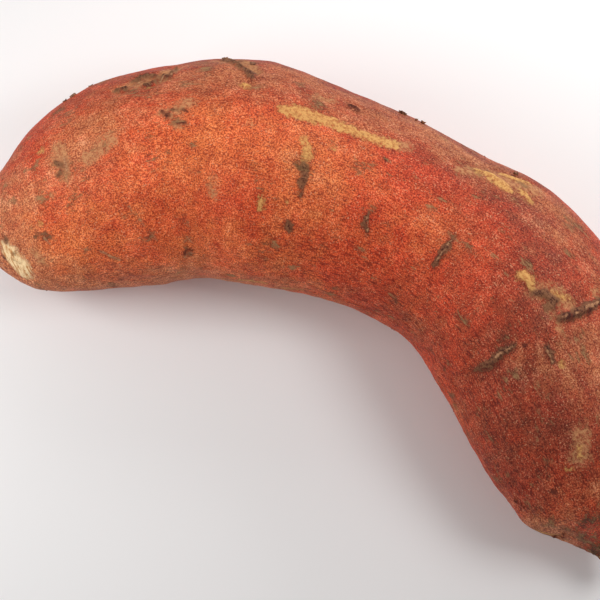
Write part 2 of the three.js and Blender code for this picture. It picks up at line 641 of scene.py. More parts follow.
MARKS = (
    # The scraped tip, its fibres bared, with scars and a brown patch beside it.
    Mark(Tissue.FLESH, ((10, 132, 2.4), (11, 141, 3.8), (12, 151, 4.2), (12, 158, 3.2)), 0.4, 0.2),
    Mark(Tissue.SCAR, ((11, 123, 0.8), (11, 126, 0.7))),
    Mark(Tissue.PIT, ((8, 145, 0.9),), 0.3),
    Mark(Tissue.ASH, ((18, 138, 1.2), (20, 146, 1.4)), 0.2),
    Mark(Tissue.SCAR, ((21, 126, 0.5), (22, 124, 0.6), (24, 125, 0.4)), 0.5),
    Mark(Tissue.SCAR, ((25, 127, 0.5), (23, 129, 0.4)), 0.4),
    Mark(Tissue.PALE, ((23, 127, 0.3), (24, 133, 0.25))),
    # Small brown patches and spots near the tip.
    Mark(Tissue.ASH, ((29, 102, 0.9),)),
    Mark(Tissue.ASH, ((34, 75, 2.0), (34, 84, 2.6), (34, 92, 2.2))),
    Mark(Tissue.SCAR, ((33, 84, 0.5), (34, 88, 0.6), (33, 92, 0.4)), 0.5, 0.3),
    Mark(Tissue.PALE, ((35, 84, 0.4), (35, 91, 0.4))),
    Mark(Tissue.ASH, ((42, 88, 2.2), (49, 82, 2.0))),
    Mark(Tissue.CORK, ((29, 71, 0.9),)),
    Mark(Tissue.CORK, ((23, 118, 0.7),)),
    Mark(Tissue.PALE, ((39, 144, 0.4), (41, 149, 0.5), (43, 152, 0.4)), 0.2),
    # The torn patch near the outer edge, brown with short open cracks, and the smear after it.
    Mark(Tissue.ASH, ((53, 48, 1.6), (58, 44, 3.2), (63, 42, 3.2), (67, 35, 1.6))),
    Mark(Tissue.SCAR, ((53, 48, 0.7), (55, 49, 1.0), (56, 47, 0.6)), 0.8, 0.5),
    Mark(Tissue.SCAR, ((57, 42, 0.5), (59, 39, 1.0), (61, 38, 0.7), (62, 41, 0.9)), 0.8, 0.6),
    Mark(Tissue.SCAR, ((60, 49, 0.7), (62, 48, 0.8)), 0.8, 0.5),
    Mark(Tissue.SCAR, ((64, 43, 0.8), (65, 45, 0.9), (66, 40, 0.5), (67, 31, 0.35)), 0.7, 0.5),
    Mark(Tissue.PALE, ((58, 45, 0.5), (60, 43, 0.4))),
    Mark(Tissue.PALE, ((62, 45, 0.5), (66, 43, 0.4))),
    Mark(Tissue.CORK, ((61, 51, 0.5),), 0.0, 0.3),
    Mark(Tissue.ASH, ((75, 27, 2.0), (79, 33, 2.6), (84, 44, 2.2))),
    Mark(Tissue.SCAR, ((76, 25, 0.9), (78, 30, 1.1), (80, 39, 0.7)), 0.6, 0.4),
    Mark(Tissue.SCAR, ((81, 42, 0.8), (83, 47, 1.5), (84, 52, 0.9)), 0.7, 0.5),
    Mark(Tissue.CORK, ((82, 58, 1.1), (83, 59, 1.0)), 0.0, 0.5),
    # Small pits in a healed brown patch.
    Mark(Tissue.ASH, ((64, 75, 2.0), (67, 74, 1.8), (69, 70, 2.2)), 0.2),
    Mark(Tissue.ASH, ((67, 82, 1.6),)),
    Mark(Tissue.PIT, ((63, 74, 0.35), (64, 77, 0.6), (66, 74, 0.4)), 0.7, 0.3),
    Mark(Tissue.PIT, ((68, 75, 0.45), (69, 76, 0.4)), 0.4),
    Mark(Tissue.PIT, ((67, 82, 0.4), (68, 83, 0.5)), 0.3),
    Mark(Tissue.ASH, ((85, 82, 0.8),)),
    # The long corky streak, with brown patches and a pit near it.
    Mark(
        Tissue.CORK,
        ((93, 71, 1.6), (97, 70, 2.3), (104, 68, 2.0), (112, 67, 1.5), (117, 66, 1.4), (121, 64, 1.8)),
        0.0,
        0.25,
    ),
    Mark(Tissue.ASH, ((120, 65, 1.4), (124, 60, 1.6))),
    Mark(Tissue.ASH, ((100, 54, 1.4), (103, 51, 1.2))),
    Mark(Tissue.PIT, ((107, 49, 0.9), (109, 49, 1.2)), 0.7, 0.3),
    # The scar across the root, corky towards its outer side, with spots about it.
    Mark(Tissue.CORK, ((100, 84, 1.0), (101, 91, 1.4), (101, 97, 1.2)), 0.4, 0.3),
    Mark(Tissue.SCAR, ((101, 97, 1.2), (102, 103, 1.2), (102.5, 109, 0.8), (103, 113, 0.4)), 0.5, 0.2),
    Mark(Tissue.CORK, ((107, 84, 0.7),)),
    Mark(Tissue.PIT, ((121, 76, 0.7),), 0.3),
    Mark(Tissue.CORK, ((92, 119, 0.9), (92, 122, 0.9)), 0.0, 0.3),
    Mark(Tissue.CORK, ((100, 118, 0.5),)),
    Mark(Tissue.SCAR, ((101, 128, 1.1), (102, 131, 1.0)), 0.4),
    Mark(Tissue.ASH, ((77, 112, 0.9), (77, 120, 0.9))),
    # Scratches, pits and corky flecks towards the inner side.
    Mark(Tissue.PALE, ((49, 119, 0.2), (51, 129, 0.25), (55, 142, 0.2))),
    Mark(Tissue.PIT, ((64, 155, 0.4), (66, 151, 0.35), (68, 152, 0.4)), 0.4),
    Mark(Tissue.PALE, ((64, 158, 0.3), (66, 154, 0.3), (68, 155, 0.3))),
    Mark(Tissue.PALE, ((67, 144, 0.2), (68, 148, 0.2))),
    Mark(Tissue.CORK, ((88, 176, 0.7), (96, 175, 0.8))),
    Mark(Tissue.CORK, ((104, 180, 0.6), (110, 178, 0.6))),
    # Scars across the bend, and the corky crust on its outer side.
    Mark(Tissue.SCAR, ((123, 108, 0.5), (123, 115, 0.9), (125, 120, 0.5)), 0.4, 0.2),
    Mark(Tissue.PALE, ((123, 110, 0.25), (124, 118, 0.25))),
    Mark(Tissue.SCAR, ((146, 97, 0.8), (146, 106, 1.2), (146, 116, 0.8)), 0.6, 0.3),
    Mark(Tissue.PALE, ((146, 99, 0.3), (146, 113, 0.3))),
    Mark(Tissue.SCAR, ((182, 144, 0.6), (183, 134, 1.2), (182, 125, 1.3), (182, 116, 0.7)), 0.4, 0.3),
    Mark(Tissue.PALE, ((182, 127, 0.4), (182, 117, 0.3))),
    Mark(Tissue.PIT, ((184, 111, 0.8),), 0.3),
    Mark(Tissue.ASH, ((138, 55, 1.6), (142, 48, 2.2), (148, 42, 3.6), (154, 36, 3.4)), 0.3, 0.2),
    Mark(Tissue.CORK, ((141, 48, 0.8), (145, 46, 1.7), (148, 49, 1.5), (151, 50, 1.2)), 0.3, 0.3),
    Mark(Tissue.CORK, ((146, 38, 0.9), (149, 37, 1.5), (152, 33, 1.2)), 0.3, 0.3),
    Mark(Tissue.CORK, ((152, 43, 0.5), (154, 46, 1.3), (156, 47, 0.8)), 0.3, 0.3),
    Mark(Tissue.PIT, ((149, 32, 0.8),), 0.3),
    # The brown corner where the short limb starts, with its dark scar.
    Mark(Tissue.CORK, ((167, 91, 1.0), (168, 90, 1.7), (170, 90, 1.3), (172, 91, 0.8)), 0.3, 0.3),
    Mark(Tissue.ASH, ((173, 90, 2.4), (177, 83, 3.0), (180, 79, 2.0))),
    Mark(Tissue.SCAR, ((173, 92, 0.7), (174, 88, 1.2), (177, 86, 1.5), (178, 84, 0.8)), 0.6, 0.3),
    Mark(Tissue.SCAR, ((179, 88, 0.9), (178, 90, 1.1)), 0.5, 0.3),
    Mark(Tissue.CORK, ((175, 84, 0.5), (178, 80, 0.9), (179, 77, 0.6))),
    Mark(Tissue.ASH, ((178, 90, 0.8), (184, 90, 1.0))),
    Mark(Tissue.SCAR, ((182, 88, 1.2), (183, 79, 1.5), (183, 70, 1.6), (183, 60, 1.2)), 0.7, 0.5),
    Mark(Tissue.PALE, ((182, 86, 0.4), (183, 79, 0.3))),
    Mark(Tissue.PALE, ((183, 72, 0.5), (183, 64, 0.4))),
    Mark(Tissue.PIT, ((183, 82, 0.9),), 0.4),
    Mark(Tissue.PIT, ((184, 71, 0.9),), 0.4),
    Mark(Tissue.ASH, ((180, 61, 1.2), (182, 60, 1.2))),
    Mark(Tissue.SCAR, ((187, 101, 0.7), (189, 101, 0.8), (191, 102, 0.6)), 0.4, 0.2),
    Mark(Tissue.PALE, ((187, 102, 0.25), (191, 103, 0.25))),
    # Spots and pits on the short limb, towards the crown.
    Mark(Tissue.CORK, ((193, 99, 0.9),)),
    Mark(Tissue.ASH, ((212, 104, 2.2), (217, 109, 2.6))),
    Mark(Tissue.CORK, ((214, 108, 0.4), (217, 109, 0.7))),
    Mark(Tissue.CORK, ((219, 116, 0.3), (219, 120, 0.4))),
    Mark(Tissue.PIT, ((224, 134, 0.9),), 0.4),
    Mark(Tissue.PIT, ((223, 168, 0.35), (225, 162, 0.35)), 0.5),
    Mark(Tissue.CORK, ((234, 173, 0.6), (236, 168, 0.9), (237, 160, 0.5)), 0.2),
    Mark(Tissue.PIT, ((237, 172, 0.4), (238, 164, 0.5), (237, 154, 0.3)), 0.6, 0.3),
)

ZONES = (
    # Glowing orange: the top of the long limb, and towards its inner side, where the brightening is
    # partly painted floor-bounce light.
    Zone(Tint.GLOW, 66, 98, 28, 14, 0.6),
    Zone(Tint.GLOW, 24, 124, 16, 16, 0.35),
    Zone(Tint.GLOW, 70, 150, 58, 16, 0.35),
    Zone(Tint.GLOW, 110, 104, 22, 14, 0.55),
    # Tan: worn at the tip, on patches on top and on the short limb. Along the inner side it is partly
    # painted floor-bounce light, and along the outer side partly a painted pale sheen.
    Zone(Tint.WORN_AND_LIT, 8, 120, 13, 26, 1.0),
    Zone(Tint.WORN_AND_LIT, 60, 182, 66, 12, 1.0),
    Zone(Tint.WORN_AND_LIT, 84, 44, 55, 12, 0.55),
    Zone(Tint.WORN_AND_LIT, 128, 38, 34, 10, 0.42),
    Zone(Tint.WORN_AND_LIT, 44, 76, 20, 9, 0.75),
    Zone(Tint.WORN_AND_LIT, 34, 94, 14, 9, 0.5),
    Zone(Tint.WORN_AND_LIT, 104, 104, 14, 10, 0.4),
    Zone(Tint.WORN_AND_LIT, 168, 52, 20, 13, 0.4),
    Zone(Tint.WORN_AND_LIT, 204, 82, 18, 11, 0.7),
    Zone(Tint.WORN_AND_LIT, 192, 112, 8, 10, 0.45),
    Zone(Tint.WORN_AND_LIT, 228, 122, 11, 24, 0.5),
    Zone(Tint.WORN_AND_LIT, 236, 170, 7, 9, 0.9),
    # Darker red: along the outer side, on and inside the bend, and over the short limb.
    Zone(Tint.DUSKY, 78, 58, 48, 12, 0.45),
    Zone(Tint.DUSKY, 90, 26, 70, 14, 0.6),
    Zone(Tint.DUSKY, 172, 106, 32, 24, 0.16),
    Zone(Tint.DUSKY, 12, 68, 16, 16, 0.35),
    Zone(Tint.DUSKY, 150, 40, 40, 22, 0.45),
    Zone(Tint.DUSKY, 212, 168, 34, 14, 0.12),
    Zone(Tint.DUSKY, 160, 82, 22, 24, 0.25),
    Zone(Tint.DUSKY, 146, 166, 26, 14, 0.5),
    Zone(Tint.DUSKY, 180, 116, 14, 26, 0.3),
    Zone(Tint.DUSKY, 210, 112, 28, 40, 0.72),
    # The far side and the underside.
    Zone(Tint.GLOW, 44, -22, 22, 16, 0.5),
    Zone(Tint.GLOW, 168, -26, 26, 14, 0.5),
    Zone(Tint.GLOW, 110, 248, 40, 14, 0.4),
    Zone(Tint.WORN_AND_LIT, 64, -34, 26, 12, 0.6),
    Zone(Tint.WORN_AND_LIT, 142, -6, 26, 10, 0.5),
    Zone(Tint.WORN_AND_LIT, 206, -12, 18, 12, 0.6),
    Zone(Tint.WORN_AND_LIT, 104, 226, 34, 10, 0.55),
    Zone(Tint.WORN_AND_LIT, 184, 262, 26, 12, 0.5),
    Zone(Tint.DUSKY, 112, -58, 34, 14, 0.45),
    Zone(Tint.DUSKY, 214, -44, 26, 18, 0.55),
    Zone(Tint.DUSKY, 22, 232, 20, 14, 0.4),
    # Bark over the crown's shoulder.
    Zone(Tint.BARK, 240, 130, 7, 20, 0.4),
    # Creased lengthwise: along the inner side and at both ends.
    Zone(Tint.WRINKLED, 152, 156, 58, 16, 1.2),
    Zone(Tint.WRINKLED, 40, 168, 20, 9, 0.8),
    Zone(Tint.WRINKLED, 176, 165, 14, 9, 0.8),
    Zone(Tint.WRINKLED, 226, 150, 14, 30, 0.8),
    Zone(Tint.WRINKLED, 4, 90, 7, 30, 0.8),
)


@dataclass(frozen=True)
class RootEyes:
    """Rows of small root eyes on the sides that carry no larger marks.

    Each range gives the least and the greatest that a random draw may give.

    Attributes:
        rows: Turn of each row, in degrees.
        spacing: Usual distance between eyes, in millimetres.
        first: Where the first eye may be, along the root in millimetres.
        last: Where eyes stop, along the root in millimetres.
        sway: How far an eye strays from its row, in degrees.
        reach: Range of half a crease's length, in degrees of turn.
        half: Range of half a crease's width, in millimetres.
        sunk: Range of a crease's depth, in millimetres.
        rim: How high a crease's lip stands, in millimetres.
        beside: Range of the distance from a crease to its fleck, in millimetres.
        fleck: Range of a fleck's radius, in millimetres.
        gap: Range of the distance to the next eye, as a part of the spacing.
        pits: How many of the creases are pits, as a part of them all.
        corky: How many of the flecks are corky, as a part of them all.
        seed: Starts the random draws.
    """

    rows: tuple[float, ...] = (-72.0, -38.0, -4.0, 206.0, 242.0)
    spacing: float = 17.0
    first: float = 14.0
    last: float = 226.0
    sway: float = 9.0
    reach: tuple[float, float] = (1.5, 5.0)
    half: tuple[float, float] = (0.4, 0.9)
    sunk: tuple[float, float] = (0.3, 0.6)
    rim: float = 0.25
    beside: tuple[float, float] = (0.6, 1.6)
    fleck: tuple[float, float] = (0.3, 0.9)
    gap: tuple[float, float] = (0.6, 1.6)
    pits: float = 0.4
    corky: float = 0.5
    seed: int = 11

    def marks(self) -> list[Mark]:
        """Scatter the eyes along the rows.

        Returns:
            Each eye's marks: a short dark crease across the root, and a pale fleck beside it.
        """
        chance = np.random.default_rng(self.seed)
        found = []
        for row in self.rows:
            along = self.first + chance.uniform(0, self.spacing)
            while along < self.last:
                turn = row + chance.uniform(-self.sway, self.sway)
                reach, half = chance.uniform(*self.reach), chance.uniform(*self.half)
                tissue = Tissue.PIT if chance.random() < self.pits else Tissue.SCAR
                stops = ((along, turn - reach, half * 0.6), (along + 0.5, turn + reach, half))
                found.append(Mark(tissue, stops, chance.uniform(*self.sunk), self.rim))
                fleck = (along + chance.uniform(*self.beside), turn + reach, chance.uniform(*self.fleck))
                tissue = Tissue.CORK if chance.random() < self.corky else Tissue.PALE
                found.append(Mark(tissue, (fleck,)))
                along += self.spacing * chance.uniform(*self.gap)
        return found


@dataclass
class SkinMarking:
    """Lays the marks and zones on the skin grid, as attributes and as relief.

    Attributes:
        marks: The listed marks.
        zones: The listed zones.
        eyes: The scattered root eyes.
        far: How far outside every mark the plain skin counts as, in millimetres.
        bark_start: Distance from the crown's end where the bark starts, in millimetres.
        bark_fade: Distance over which it sets in, in millimetres.
        lip_out: How far outside a mark's edge its lip is highest, in millimetres.
        lip_width: How wide a lip is, in millimetres.
    """

    marks: tuple[Mark, ...] = MARKS
    zones: tuple[Zone, ...] = ZONES
    eyes: RootEyes = field(default_factory=RootEyes)
    far: float = 6.0
    bark_start: float = 15.0
    bark_fade: float = 10.0
    lip_out: float = 0.5
    lip_width: float = 0.9

    def apply(self, skin: SkinGrid) -> None:
        """Add every field and raise or sink the skin to match.

        Args:
            skin: The smooth skin, which is changed.
        """
        shape = skin.points.shape[:2]
        for tint in Tint:
            skin.fields[tint.value] = np.zeros(shape)
        for tissue in Tissue:
            skin.fields[tissue.value] = np.full(shape, -self.far)
        for zone in self.zones:
            self._lay_zone(skin, zone)
        from_crown = skin.along[-1] - skin.along
        bark = ease((self.bark_start - from_crown) / self.bark_fade)
        skin.fields[Tint.BARK.value] += bark[:, None]
        height = np.zeros(shape)
        for mark in (*self.marks, *self.eyes.marks()):
            height += self._lay_mark(skin, mark)
        skin.raise_skin(height)

    def _lay_zone(self, skin: SkinGrid, zone: Zone) -> None:
        """Add one zone's bell-shaped amount to its field.

        Args:
            skin: The skin it lies on.
            zone: The zone.
        """
        away = (skin.along - zone.along)[:, None] / zone.length
        turn = np.radians(turned(skin.turns, zone.turn))[None, :]
        around = turn * skin.girth[:, None] / zone.spread
        skin.fields[zone.tint.value] += zone.amount * np.exp(-(away**2) - around**2)

    def _lay_mark(self, skin: SkinGrid, mark: Mark) -> np.ndarray:
        """Add one mark to its field.

        Args:
            skin: The skin it lies on.
            mark: The mark.

        Returns:
            The height it adds at every grid point, in millimetres.
        """
        inside = np.full(skin.points.shape[:2], -np.inf)
        places = [skin.place(along, turn) for along, turn, _ in mark.stops]
        halves = [half for *_, half in mark.stops]
        pairs = list(zip(places, places[1:], halves, halves[1:])) or [
            (places[0], places[0], halves[0], halves[0])
        ]
        for start, end, first, last in pairs:
            way = end - start
            part = (skin.points - start) @ way / max(way @ way, TINY)
            part = np.clip(part, 0, 1)
            gap = np.linalg.norm(skin.points - start - part[:, :, None] * way, axis=2)
            inside = np.maximum(inside, first + (last - first) * part - gap)
        skin.fields[mark.tissue.value] = np.maximum(skin.fields[mark.tissue.value], inside)
        # The floor starts to sink a quarter of the half-width outside the edge.
        floor = ease(inside / max(halves) * 0.8 + 0.2)
        lip = bell(inside + self.lip_out, self.lip_width)
        return mark.rim * lip - mark.sunk * floor


# ---------------------------------------------------------------- grown relief


class GeometryGraph(Graph):
    """A geometry node tree with named sizes, run once on a piece."""

    def __init__(self, name: str, sizes: dict[str, float]) -> None:
        """Make a tree with one input for each size.

        Args:
            name: The tree's name.
            sizes: Each input's name and value.
        """
        super().__init__(bpy.data.node_groups.new(name, "GeometryNodeTree"))
        self.sizes = sizes
        interface = self.tree.interface
        interface.new_socket("Geometry", in_out="INPUT", socket_type="NodeSocketGeometry")
        interface.new_socket("Geometry", in_out="OUTPUT", socket_type="NodeSocketGeometry")
        self.identifiers = {
            size: interface.new_socket(size, in_out="INPUT", socket_type="NodeSocketFloat").identifier
            for size in sizes
        }
        self.entry = self.tree.nodes.new("NodeGroupInput")

    def given(self, name: str) -> Value:
        """Return one of the tree's inputs."""
        return Value(self, self.entry.outputs[name])

    def field(self, name: str, kind: str = "FLOAT") -> Value:
        """Read a mesh attribute in a geometry tree."""
        return self.add("GeometryNodeInputNamedAttribute", {"data_type": kind}, {"Name": name})

    def run(self, grown: Value, piece: bpy.types.Object, material: bpy.types.Material) -> None:
        """Close the tree, run it on a piece and keep the result as the piece's plain mesh.

        Args:
            grown: The geometry that the tree makes.
            piece: The object that the tree works on.
            material: The finish that the result gets.
        """
        whole = self.add("GeometryNodeRealizeInstances", {}, {"Geometry": grown})
        dressed = self.add("GeometryNodeSetMaterial", {}, {"Geometry": whole, "Material": material})
        self.add("NodeGroupOutput", {}, {"Geometry": dressed})
        modifier = piece.modifiers.new(self.tree.name, "NODES")
        modifier.node_group = self.tree
        for size, identifier in self.identifiers.items():
            modifier[identifier] = self.sizes[size]
        ready = bpy.context.evaluated_depsgraph_get()
        mesh = bpy.data.meshes.new_from_object(
            piece.evaluated_get(ready), preserve_all_data_layers=True, depsgraph=ready
        )
        piece.modifiers.remove(modifier)
        piece.data = mesh
        mesh.shade_smooth()


@dataclass(frozen=True)
class GrowthRelief:
    """The skin's own relief: slow swells, lengthwise wrinkles, and folds in the bark.

    Attributes:
        swell: Height of the slow swells, in millimetres.
        ripple: Height of the small unevenness all over, in millimetres.
        wrinkle: Depth of the wrinkles where the skin is creased, in millimetres.
        fold: Depth of the bark's folds, in millimetres.
        swell_size: Width of a swell, in metres, as are the next three.
        ripple_size: Width of a ripple.
        wrinkle_size: Width of a wrinkle.
        fold_size: Width of a fold.
        drawn: How wrinkles and folds are stretched, along the root and across it twice.
    """

    swell: float = 1.7
    ripple: float = 0.5
    wrinkle: float = 0.8
    fold: float = 2.4
    swell_size: float = 0.016
    ripple_size: float = 0.0045
    wrinkle_size: float = 0.0022
    fold_size: float = 0.003
    drawn: tuple[float, float, float] = (0.22, 1.0, 1.0)

    def grow(self, piece: bpy.types.Object, material: bpy.types.Material) -> None:
        """Raise the relief on a piece, keeping it above the surface it lies on.

        Args:
            piece: The marked skin.
            material: The finish it gets.
        """
        sizes = {
            "Swell": self.swell * MM,
            "Ripple": self.ripple * MM,
            "Wrinkle": self.wrinkle * MM,
            "Fold": self.fold * MM,
        }
        graph = GeometryGraph("growth_relief", sizes)
        place = graph.field("unbent", "FLOAT_VECTOR")
        drawn = graph.stretched(place, self.drawn)
        swell = (graph.noise(place, self.swell_size, 1.0) - 0.5) * graph.given("Swell")
        ripple = (graph.noise(place, self.ripple_size, 2.0) - 0.5) * graph.given("Ripple")
        creases = (graph.noise(drawn, self.wrinkle_size, 2.0) - 0.5) * graph.given("Wrinkle")
        folds = (graph.noise(drawn, self.fold_size, 3.0) - 0.5) * graph.given("Fold")
        height = swell + ripple + creases * graph.field(Tint.WRINKLED.value)
        height = height + folds * graph.field(Tint.BARK.value)
        normal = graph.add("GeometryNodeInputNormal", {}, {}, "Normal")
        position = graph.add("GeometryNodeInputPosition")
        moved = graph.vector_math("ADD", position, graph.lengthened(normal, height))
        lifted = graph.vector_math("MAXIMUM", moved, LOWEST)
        inputs = {"Geometry": graph.given("Geometry"), "Position": lifted}
        shaped = graph.add("GeometryNodeSetPosition", {}, inputs)
        graph.run(shaped, piece, material)


@dataclass(frozen=True)
class BrokenRoots:
    """The short stubs that side roots left where they broke off.

    Attributes:
        places: Distance along in mm, turn in degrees and length in mm of each stub.
        sides: Faces round a stub.
        foot: Radius at the foot, as a part of the length.
        tip: Radius at the broken end, as a part of the length.
        buried: How much of a stub is under the skin, as a part of the length.
        rough: How far a stub's surface strays at most, in millimetres.
        rough_scale: How fine that unevenness is, as the noise texture's scale.
        side_steps: Rows of faces up a stub.
        end_steps: Rings of faces on its ends.
    """

    places: tuple[tuple[float, float, float], ...] = (
        (38, 27, 1.1),
        (40.5, 28, 1.4),
        (46, 22, 1.1),
        (76, 24, 1.1),
        (77, 25, 1.3),
        (83, 36, 1.2),
        (118.5, 21, 0.9),
        (119.5, 22, 1.3),
        (122.5, 22, 0.8),
        (124, 21, 1.0),
        (149, 29, 0.9),
        (70, 232, 1.6),
        (131, 218, 1.5),
        (160, -20, 1.8),
        (205, 208, 1.4),
        (98, -48, 1.5),
    )
    sides: int = 14
    foot: float = 0.7
    tip: float = 0.28
    buried: float = 0.5
    rough: float = 0.5
    rough_scale: float = 900.0
    side_steps: int = 5
    end_steps: int = 2

    def build(self, skin: SkinGrid, material: bpy.types.Material) -> bpy.types.Object:
        """Stand a stub on the skin at each place.

        Args:
            skin: The marked skin.
            material: The stubs' finish.

        Returns:
            All the stubs as one piece.
        """
        spots = [skin.place(along, turn) * MM for along, turn, _ in self.places]
        ways = [skin.place(along, turn, skin.normals()) for along, turn, _ in self.places]
        reaches = [length * MM for *_, length in self.places]
        mesh = bpy.data.meshes.new("broken_roots")
        mesh.from_pydata(spots, [], [])
        way = mesh.attributes.new("way", "FLOAT_VECTOR", "POINT")
        way.data.foreach_set("vector", np.ravel(ways))
        mesh.attributes.new("reach", "FLOAT", "POINT").data.foreach_set("value", reaches)
        piece = bpy.data.objects.new("broken_roots", mesh)
        bpy.context.scene.collection.objects.link(piece)
        self._grow(piece, material)
        return piece

    def _grow(self, piece: bpy.types.Object, material: bpy.types.Material) -> None:
        """Turn the piece's points into stubs.

        Args:
            piece: A point for each stub, with its way out and its length as attributes.
            material: The finish they get.
        """
        sizes = {"Foot": self.foot, "Tip": self.tip, "Buried": self.buried, "Rough": self.rough}
        graph = GeometryGraph("stubs", sizes)
        shape = {
            "Vertices": self.sides,
            "Side Segments": self.side_steps,
            "Fill Segments": self.end_steps,
            "Radius Top": graph.given("Tip"),
            "Radius Bottom": graph.given("Foot"),
            "Depth": graph.given("Buried") + 1.0,
        }
        cone = graph.add("GeometryNodeMeshCone", {}, shape)
        down = graph.add("ShaderNodeCombineXYZ", {}, {"Z": graph.given("Buried") * -1.0})
        sunk = graph.add("GeometryNodeTransform", {}, {"Geometry": cone, "Translation": down})
        way = {"Vector": graph.field("way", "FLOAT_VECTOR")}
        inputs = {
            "Points": graph.given("Geometry"),
            "Instance": sunk,
            "Rotation": graph.add("FunctionNodeAlignRotationToVector", {"axis": "Z"}, way),
            "Scale": graph.field("reach"),
        }
        stood = graph.add("GeometryNodeInstanceOnPoints", {}, inputs)
        whole = graph.add("GeometryNodeRealizeInstances", {}, {"Geometry": stood})
        position = graph.add("GeometryNodeInputPosition")
        noise = {"Vector": position, "Scale": self.rough_scale, "Detail": 2.0}
        wander = graph.add("ShaderNodeTexNoise", {}, noise, "Color")
        centred = graph.vector_math("SUBTRACT", wander, (0.5, 0.5, 0.5))
        shift = graph.lengthened(centred, graph.given("Rough") * (2.0 * MM))
        ragged = graph.add("GeometryNodeSetPosition", {}, {"Geometry": whole, "Offset": shift})
        graph.run(ragged, piece, material)


# ---------------------------------------------------------------- the finish


@dataclass(frozen=True)
class TissueLook:
    """How a tissue looks.

    Attributes:
        tissue: Which tissue.
        light: Its lighter colour.
        dark: The colour of its flecks.
        ragged: How far its edge wanders, in millimetres.
        soft: How wide its edge is, in millimetres.
        cover: How fully it hides the skin below.
        shade: How dark the skin is along its edge.
        drawn: How its flecks are stretched, along the root and across it twice.
    """

    tissue: Tissue
    light: tuple[float, ...]
    dark: tuple[float, ...]
    ragged: float
    soft: float
    cover: float
    shade: float
    drawn: tuple[float, float, float] = (1.0, 1.0, 1.0)


